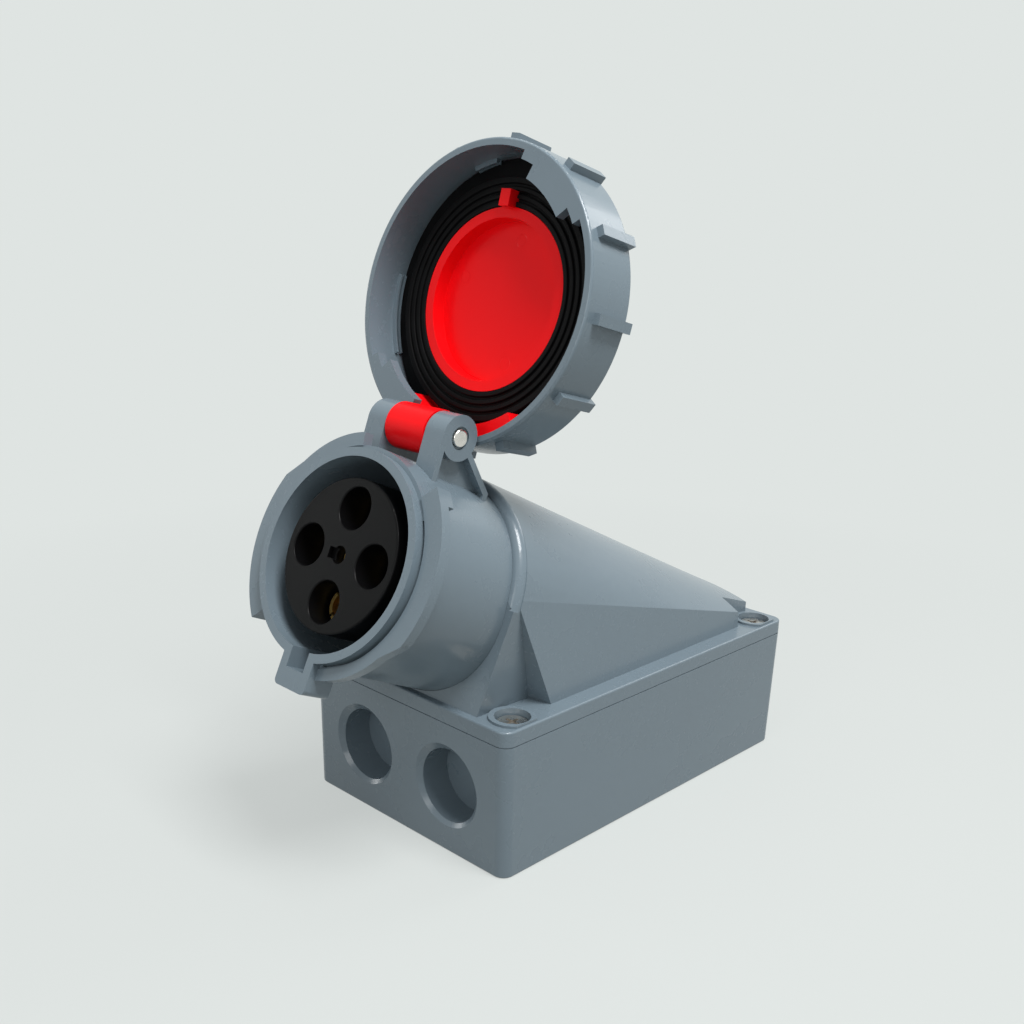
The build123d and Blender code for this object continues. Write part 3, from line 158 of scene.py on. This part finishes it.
class SocketStage(bpy.types.PropertyGroup):
    """Floor, lamps and camera."""

    backdrop: bpy.props.FloatVectorProperty(
        name="Backdrop", description="Colour of the floor and of the background",
        default=srgb(223, 228, 226), subtype="COLOR", min=0, max=1)
    lens: bpy.props.FloatProperty(
        name="Lens", description="Focal length of the camera in millimetres",
        default=43.03, min=1, subtype="DISTANCE_CAMERA", unit="CAMERA")
    azimuth: bpy.props.FloatProperty(
        name="Azimuth", description="Turn of the camera round the object",
        default=radians(43.26), subtype="ANGLE", unit="ROTATION")
    elevation: bpy.props.FloatProperty(
        name="Elevation", description="Height angle of the camera",
        default=radians(15.12), subtype="ANGLE", unit="ROTATION")
    roll: bpy.props.FloatProperty(
        name="Roll", description="Turn of the camera about its own view",
        default=radians(2.07), subtype="ANGLE", unit="ROTATION")
    camera_place: bpy.props.FloatVectorProperty(
        name="Camera place", description="Where the camera stands",
        default=(0.33189, -0.38730, 0.25275), subtype="TRANSLATION", unit="LENGTH")
    ambient: bpy.props.FloatProperty(
        name="Ambient", description="Strength of the even light from all round", default=0.5, min=0)
    top_power: bpy.props.FloatProperty(
        name="Top power", description="Power of the large soft lamp overhead",
        default=17.0, min=0, unit="POWER")
    left_power: bpy.props.FloatProperty(
        name="Left power", description="Power of the soft lamp on the left",
        default=1.6, min=0, unit="POWER")
    front_power: bpy.props.FloatProperty(
        name="Front power", description="Power of the soft lamp in front of the object",
        default=2.6, min=0, unit="POWER")
    rear_power: bpy.props.FloatProperty(
        name="Rear power", description="Power of the soft lamp behind the object",
        default=2.5, min=0, unit="POWER")


class Signal:
    """A shader socket that takes part in sums."""

    def __init__(self, shader, socket):
        self.shader = shader
        self.socket = socket

    def combine(self, operation, first, second):
        return self.shader.node("ShaderNodeMath", {"operation": operation}, {0: first, 1: second})

    def __add__(self, other):
        return self.combine("ADD", self, other)

    def __radd__(self, other):
        return self.combine("ADD", other, self)

    def __sub__(self, other):
        return self.combine("SUBTRACT", self, other)

    def __rsub__(self, other):
        return self.combine("SUBTRACT", other, self)

    def __mul__(self, other):
        return self.combine("MULTIPLY", self, other)

    def __rmul__(self, other):
        return self.combine("MULTIPLY", other, self)

    def __abs__(self):
        return self.combine("ABSOLUTE", self, 0.0)


class Shader:
    """Node tree of one material, with its surface shader ready."""

    def __init__(self, name, **constants):
        self.material = bpy.data.materials.new(name)
        self.material.use_nodes = True
        self.tree = self.material.node_tree
        self.surface = self.tree.nodes["Principled BSDF"]
        for socket_name, value in constants.items():
            self.surface.inputs[socket_name.replace("_", " ")].default_value = value

    @classmethod
    def on_tree(cls, tree):
        """Helper for a node tree that has no surface shader."""
        shader = cls.__new__(cls)
        shader.tree = tree
        return shader

    def node(self, kind, settings=None, inputs=None, output=0):
        """Add a node: its settings first, then the values or links of its sockets."""
        made = self.tree.nodes.new(kind)
        for setting, value in (settings or {}).items():
            setattr(made, setting, value)
        for key, value in (inputs or {}).items():
            if isinstance(value, Signal):
                self.tree.links.new(value.socket, made.inputs[key])
            else:
                made.inputs[key].default_value = value
        return None if output is None else Signal(self, made.outputs[output])

    def place(self):
        """Position on the piece, in metres."""
        return self.node("ShaderNodeTexCoord", output="Object")

    def noise(self, size, detail=2.0):
        """Noise whose features are about this many metres wide."""
        return self.node(
            "ShaderNodeTexNoise", {},
            {"Vector": self.place(), "Scale": 1 / size, "Detail": detail})

    def blend(self, amount, first, second):
        """Colour between two colours."""
        return self.node(
            "ShaderNodeMix", {"data_type": "RGBA"},
            {"Factor": amount, 6: first, 7: second}, output=2)

    def ramp(self, value, low, high):
        """Value stretched so that low becomes 0 and high becomes 1."""
        return self.node(
            "ShaderNodeMapRange", {}, {"Value": value, "From Min": low, "From Max": high})

    def feed(self, **links):
        """Drive sockets of the surface shader."""
        for socket_name, signal in links.items():
            self.tree.links.new(signal.socket, self.surface.inputs[socket_name.replace("_", " ")])

    def bump(self, height, distance):
        """Normal for a height, with the real depth of a height of 1 in metres."""
        normal = self.node(
            "ShaderNodeBump", {}, {"Height": height, "Distance": distance, "Strength": 1.0})
        self.feed(Normal=normal)


def shade(colour, share):
    """Colour made lighter or darker, with full alpha."""
    return tuple(min(1.0, part * share) for part in colour[:3]) + (1.0,)


def ejector_marks(shader, places):
    """Value of 1 on the thin rings that ejector pins leave, and 0 elsewhere."""
    marks = None
    for point in places:
        reach = shader.node(
            "ShaderNodeVectorMath", {"operation": "DISTANCE"},
            {0: shader.place(), 1: point}, output=1)
        ring = 1 - shader.ramp(abs(reach - MARK_RADIUS), 0.0, MARK_WIDTH)
        marks = ring if marks is None else marks + ring
    return marks


def moulded_plastic(name, colour, roughness, specular, gloss, marks_at=()):
    """Satin moulded plastic: faint flow clouds, a fine grain and a few light scuffs."""
    shader = Shader(name, IOR=PLASTIC_IOR, Specular_IOR_Level=specular,
                    Coat_Weight=gloss, Coat_Roughness=COAT_ROUGHNESS)
    clouds = shader.noise(CLOUD_SIZE, detail=3.0)
    streaks = shader.noise(STREAK_SIZE, detail=4.0)
    height = shader.noise(GRAIN_SIZE)
    scuffs = shader.ramp(shader.noise(SCUFF_SIZE, detail=3.0), *SCUFF_RANGE)
    tone = shader.ramp(CLOUD_SHARE * clouds + STREAK_SHARE * streaks, *TONE_RANGE)
    base = shader.blend(tone, shade(colour, DARK_TONE), shade(colour, LIGHT_TONE))
    shader.feed(
        Base_Color=shader.blend(scuffs * SCUFF_SHARE, base, shade(colour, SCUFF_TONE)),
        Roughness=roughness + TONE_ROUGHNESS * tone + TONE_ROUGHNESS * scuffs,
    )
    if marks_at:
        height = height - MARK_DEPTH * ejector_marks(shader, marks_at)
    shader.bump(height, GRAIN_DEPTH)
    return shader.material


def soft_rubber(name, colour):
    """Matt black rubber with a fine bloom."""
    shader = Shader(name, IOR=RUBBER_IOR, Specular_IOR_Level=RUBBER_SPECULAR)
    bloom = shader.noise(BLOOM_SIZE, detail=5.0)
    height = shader.noise(RUBBER_GRAIN_SIZE)
    shader.feed(
        Base_Color=shader.blend(
            shader.ramp(bloom, *BLOOM_RANGE),
            shade(colour, BLOOM_DARK), shade(colour, BLOOM_LIGHT)),
        Roughness=RUBBER_ROUGHNESS + BLOOM_ROUGHNESS * bloom,
    )
    shader.bump(height, RUBBER_GRAIN_DEPTH)
    return shader.material


def plain_metal(name, colour, roughness):
    """Turned or plated metal with fine tool marks and a faint tarnish."""
    shader = Shader(name, Metallic=1.0)
    marks = shader.noise(TOOL_MARK_SIZE, detail=4.0)
    tarnish = shader.ramp(shader.noise(TARNISH_SIZE, detail=4.0), *TARNISH_RANGE)
    shader.feed(
        Base_Color=shader.blend(tarnish, shade(colour, 1.0), shade(colour, TARNISH_TONE)),
        Roughness=roughness + TOOL_MARK_ROUGHNESS * marks + TARNISH_ROUGHNESS * tarnish,
    )
    shader.bump(marks, TOOL_MARK_DEPTH)
    return shader.material


def mark_places():
    """Where the ejector pins touched the floor of the dish."""
    ring_joint = next(joint for joint in frame["joints"] if joint["name"] == "ring_turn")
    centre = Vector(ring_joint["pos_m"])
    axis = Vector(ring_joint["axis"])
    across = Vector((1.0, 0.0, 0.0))
    up = axis.cross(across)
    floor = centre + axis * DISH_FLOOR
    return [
        tuple(floor + (across * cos(radians(turn)) + up * sin(radians(turn))) * reach)
        for reach, turn in MARK_SPOTS
    ]


def finishes():
    """All finishes of the socket, made once."""
    finish = bpy.context.scene.socket_finish
    makers = {
        "housing_grey": lambda name: moulded_plastic(
            name, finish.housing_grey, roughness=0.26, specular=0.35, gloss=0.25),
        "lid_red": lambda name: moulded_plastic(
            name, finish.lid_red, roughness=0.3, specular=0.12, gloss=0.04,
            marks_at=mark_places()),
        "insert_black": lambda name: moulded_plastic(
            name, finish.insert_black, roughness=0.36, specular=0.1, gloss=0.02),
        "rubber_black": lambda name: soft_rubber(name, finish.rubber_black),
        "steel": lambda name: plain_metal(name, finish.steel, roughness=0.22),
        "brass": lambda name: plain_metal(name, finish.brass, roughness=0.3),
    }
    for slot, make in makers.items():
        if slot + FINISH_ENDING not in bpy.data.materials:
            make(slot + FINISH_ENDING)
    return {slot: bpy.data.materials[slot + FINISH_ENDING] for slot in makers}


def dress(node, slot):
    """Give a carried-over node its finish."""
    piece = frame["nodes"][node]
    piece.data.materials.clear()
    piece.data.materials.append(finishes()[slot])


def moulded_copy(node, slot, body, edge_radius):
    """Copy of a node with its edges rounded as moulded edges are."""
    work = bmesh.new()
    work.from_mesh(frame["nodes"][node].data)
    bmesh.ops.remove_doubles(work, verts=work.verts, dist=WELD_DISTANCE)
    bmesh.ops.dissolve_limit(
        work, angle_limit=radians(FLAT_ANGLE), verts=work.verts, edges=work.edges)
    sharp = [
        edge for edge in work.edges
        if len(edge.link_faces) == 2 and edge.calc_face_angle(0) > radians(MOULDED_ANGLE)
    ]
    bmesh.ops.bevel(
        work, geom=sharp, offset=edge_radius, offset_type="OFFSET", affect="EDGES",
        segments=EDGE_SEGMENTS, profile=ROUND_PROFILE, material=-1, clamp_overlap=True)
    finish_piece(work, node + "_moulded", slot, body, (node,))


def finish_piece(work, name, slot, body, nodes):
    """Turn a bmesh into a finished piece that rides on a body and stands for nodes."""
    mesh = bpy.data.meshes.new(name)
    work.to_mesh(mesh)
    work.free()
    mesh.shade_smooth()
    mesh.set_sharp_from_angle(angle=radians(SHADING_ANGLE))
    piece = bpy.data.objects.new(name, mesh)
    bpy.context.scene.collection.objects.link(piece)
    mesh.materials.append(finishes()[slot])
    weighted = piece.modifiers.new("Face weights", "WEIGHTED_NORMAL")
    weighted.keep_sharp = True
    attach(piece, body)
    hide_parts(*nodes)


class SOCKET_OT_housing(bpy.types.Operator):
    """Box, cover and socket shell in grey moulded plastic"""

    bl_idname = "socket.housing"
    bl_label = "Housing"

    def execute(self, context):
        radius = context.scene.socket_finish.edge_radius
        for node in ("base_box", "cover_housing", "socket_shell"):
            moulded_copy(node, "housing_grey", "housing", radius)
        return {"FINISHED"}


class SOCKET_OT_lid(bpy.types.Operator):
    """Red lid with its rubber seal and the grey locking ring"""

    bl_idname = "socket.lid"
    bl_label = "Lid and ring"

    def execute(self, context):
        radius = context.scene.socket_finish.edge_radius
        moulded_copy("lid", "lid_red", "lid", radius)
        moulded_copy("lid_gasket", "rubber_black", "lid", radius)
        moulded_copy("locking_ring", "housing_grey", "locking_ring", radius)
        return {"FINISHED"}


class SOCKET_OT_insert(bpy.types.Operator):
    """Black contact carrier and terminal block"""

    bl_idname = "socket.insert"
    bl_label = "Insert"

    def execute(self, context):
        radius = context.scene.socket_finish.edge_radius
        moulded_copy("contact_insert", "insert_black", "housing", radius)
        dress("terminal_block", "insert_black")
        return {"FINISHED"}


class SOCKET_OT_metal(bpy.types.Operator):
    """Contacts, screws, springs and the hinge pin"""

    bl_idname = "socket.metal"
    bl_label = "Metal parts"

    def execute(self, context):
        brass = ("phase_contact_left", "phase_contact_top", "phase_contact_right",
                 "earth_contact", "pilot_contact")
        for node in brass:
            dress(node, "brass")
        steel = ("cover_screws", "shell_screws", "insert_screws", "block_screws",
                 "contact_springs", "terminal_screws", "pilot_screw", "hinge_pin")
        for node in steel:
            dress(node, "steel")
        return {"FINISHED"}


class SOCKET_OT_seals(bpy.types.Operator):
    """Rubber seals inside the housing"""

    bl_idname = "socket.seals"
    bl_label = "Seals"

    def execute(self, context):
        for node in ("box_gasket", "shell_seal"):
            dress(node, "rubber_black")
        return {"FINISHED"}


def softbox(name, place, size, power):
    """Square soft lamp that looks at the middle of the object."""
    lamp = bpy.data.lights.new(name, "AREA")
    lamp.shape = "SQUARE"
    lamp.size = size
    lamp.energy = power
    holder = bpy.data.objects.new(name, lamp)
    bpy.context.scene.collection.objects.link(holder)
    holder.location = place
    away = Vector(place) - Vector(STAGE_CENTRE)
    holder.rotation_euler = away.to_track_quat("Z", "Y").to_euler()


def seen_directly(shader):
    """Value of 1 for rays from the camera, from gloss and through glass."""
    rays = [
        shader.node("ShaderNodeLightPath", output=name)
        for name in ("Is Camera Ray", "Is Glossy Ray", "Is Transmission Ray")
    ]
    return rays[0].combine("MAXIMUM", rays[0], rays[1].combine("MAXIMUM", rays[1], rays[2]))


def backdrop_world(colour, ambient):
    """World that lights evenly and shows the backdrop's colour behind the object."""
    world = bpy.data.worlds.new("studio_world")
    bpy.context.scene.world = world
    world.use_nodes = True
    shader = Shader.on_tree(world.node_tree)
    world.node_tree.nodes.clear()
    even = shader.node("ShaderNodeBackground", {}, {"Color": (1, 1, 1, 1), "Strength": ambient})
    seen = shader.node("ShaderNodeBackground", {}, {"Color": (*colour, 1), "Strength": 1.0})
    mixed = shader.node("ShaderNodeMixShader", {}, {0: seen_directly(shader), 1: even, 2: seen})
    shader.node("ShaderNodeOutputWorld", {}, {"Surface": mixed}, output=None)


def floor_material(colour):
    """Pale floor that keeps the shadow near the object and blends into the background."""
    shader = Shader("pale_floor", Roughness=FLOOR_ROUGHNESS, Specular_IOR_Level=0.0)
    bounced = shader.node("ShaderNodeLightPath", output="Is Diffuse Ray")
    shader.feed(Base_Color=shader.blend(
        bounced, shade(colour, FLOOR_SHARE), shade(colour, FLOOR_BOUNCE)))
    reach = shader.node(
        "ShaderNodeVectorMath", {"operation": "LENGTH"}, {0: shader.place()}, output=1)
    near = 1 - shader.ramp(reach, SHADOW_NEAR, SHADOW_FAR)
    glow = shader.node("ShaderNodeEmission", {}, {"Color": (*colour, 1), "Strength": 1.0})
    lit = Signal(shader, shader.surface.outputs[0])
    mixed = shader.node("ShaderNodeMixShader", {}, {
        0: seen_directly(shader) * (1 - SHADOW_SHARE * near), 1: lit, 2: glow})
    shader.tree.links.new(mixed.socket, shader.tree.nodes["Material Output"].inputs["Surface"])
    return shader.material


class SOCKET_OT_stage(bpy.types.Operator):
    """Pale floor, soft lamps and the camera"""

    bl_idname = "socket.stage"
    bl_label = "Stage"

    def execute(self, context):
        stage = context.scene.socket_stage
        work = bmesh.new()
        bmesh.ops.create_grid(work, x_segments=1, y_segments=1, size=FLOOR_SIZE)
        mesh = bpy.data.meshes.new("floor")
        work.to_mesh(mesh)
        work.free()
        floor = bpy.data.objects.new("floor", mesh)
        context.scene.collection.objects.link(floor)
        mesh.materials.append(floor_material(stage.backdrop))
        backdrop_world(stage.backdrop, stage.ambient)
        softbox("top_lamp", (0.5, -0.1, 1.2), 0.5, stage.top_power)
        softbox("left_lamp", (-1.25, -0.45, 0.3), 0.4, stage.left_power)
        softbox("front_lamp", (0.3, -1.3, 0.6), 0.5, stage.front_power)
        softbox("rear_lamp", (0.25, 1.1, 0.9), 0.45, stage.rear_power)
        camera_data = bpy.data.cameras.new("camera")
        camera_data.lens = stage.lens
        camera_data.sensor_width = SENSOR_WIDTH
        camera = bpy.data.objects.new("camera", camera_data)
        context.scene.collection.objects.link(camera)
        turn = Euler((pi / 2 - stage.elevation, 0.0, stage.azimuth)).to_matrix().to_4x4()
        camera.matrix_world = (
            Matrix.Translation(stage.camera_place) @ turn @ Matrix.Rotation(stage.roll, 4, "Z"))
        context.scene.camera = camera
        context.scene.view_settings.view_transform = "Standard"
        return {"FINISHED"}


class SOCKET_PT_panel(bpy.types.Panel):
    """Lists the steps that dress the socket"""

    bl_idname = "SOCKET_PT_panel"
    bl_label = "Industrial Socket"
    bl_space_type = "VIEW_3D"
    bl_region_type = "UI"
    bl_category = "Socket"

    def draw(self, context):
        for step in PIECE_STEPS:
            self.layout.operator(step.bl_idname)


PIECE_STEPS = (
    SOCKET_OT_housing,
    SOCKET_OT_lid,
    SOCKET_OT_insert,
    SOCKET_OT_metal,
    SOCKET_OT_seals,
    SOCKET_OT_stage,
)
CLASSES = (SocketFinish, SocketStage, *PIECE_STEPS, SOCKET_PT_panel)


def register():
    for cls in CLASSES:
        bpy.utils.register_class(cls)
    bpy.types.Scene.socket_finish = bpy.props.PointerProperty(type=SocketFinish)
    bpy.types.Scene.socket_stage = bpy.props.PointerProperty(type=SocketStage)


def unregister():
    del bpy.types.Scene.socket_stage
    del bpy.types.Scene.socket_finish
    for cls in reversed(CLASSES):
        bpy.utils.unregister_class(cls)


def main():
    register()
    bpy.ops.socket.housing()
    bpy.ops.socket.lid()
    bpy.ops.socket.insert()
    bpy.ops.socket.metal()
    bpy.ops.socket.seals()
    bpy.ops.socket.stage()


if __name__ == "__main__":
    main()
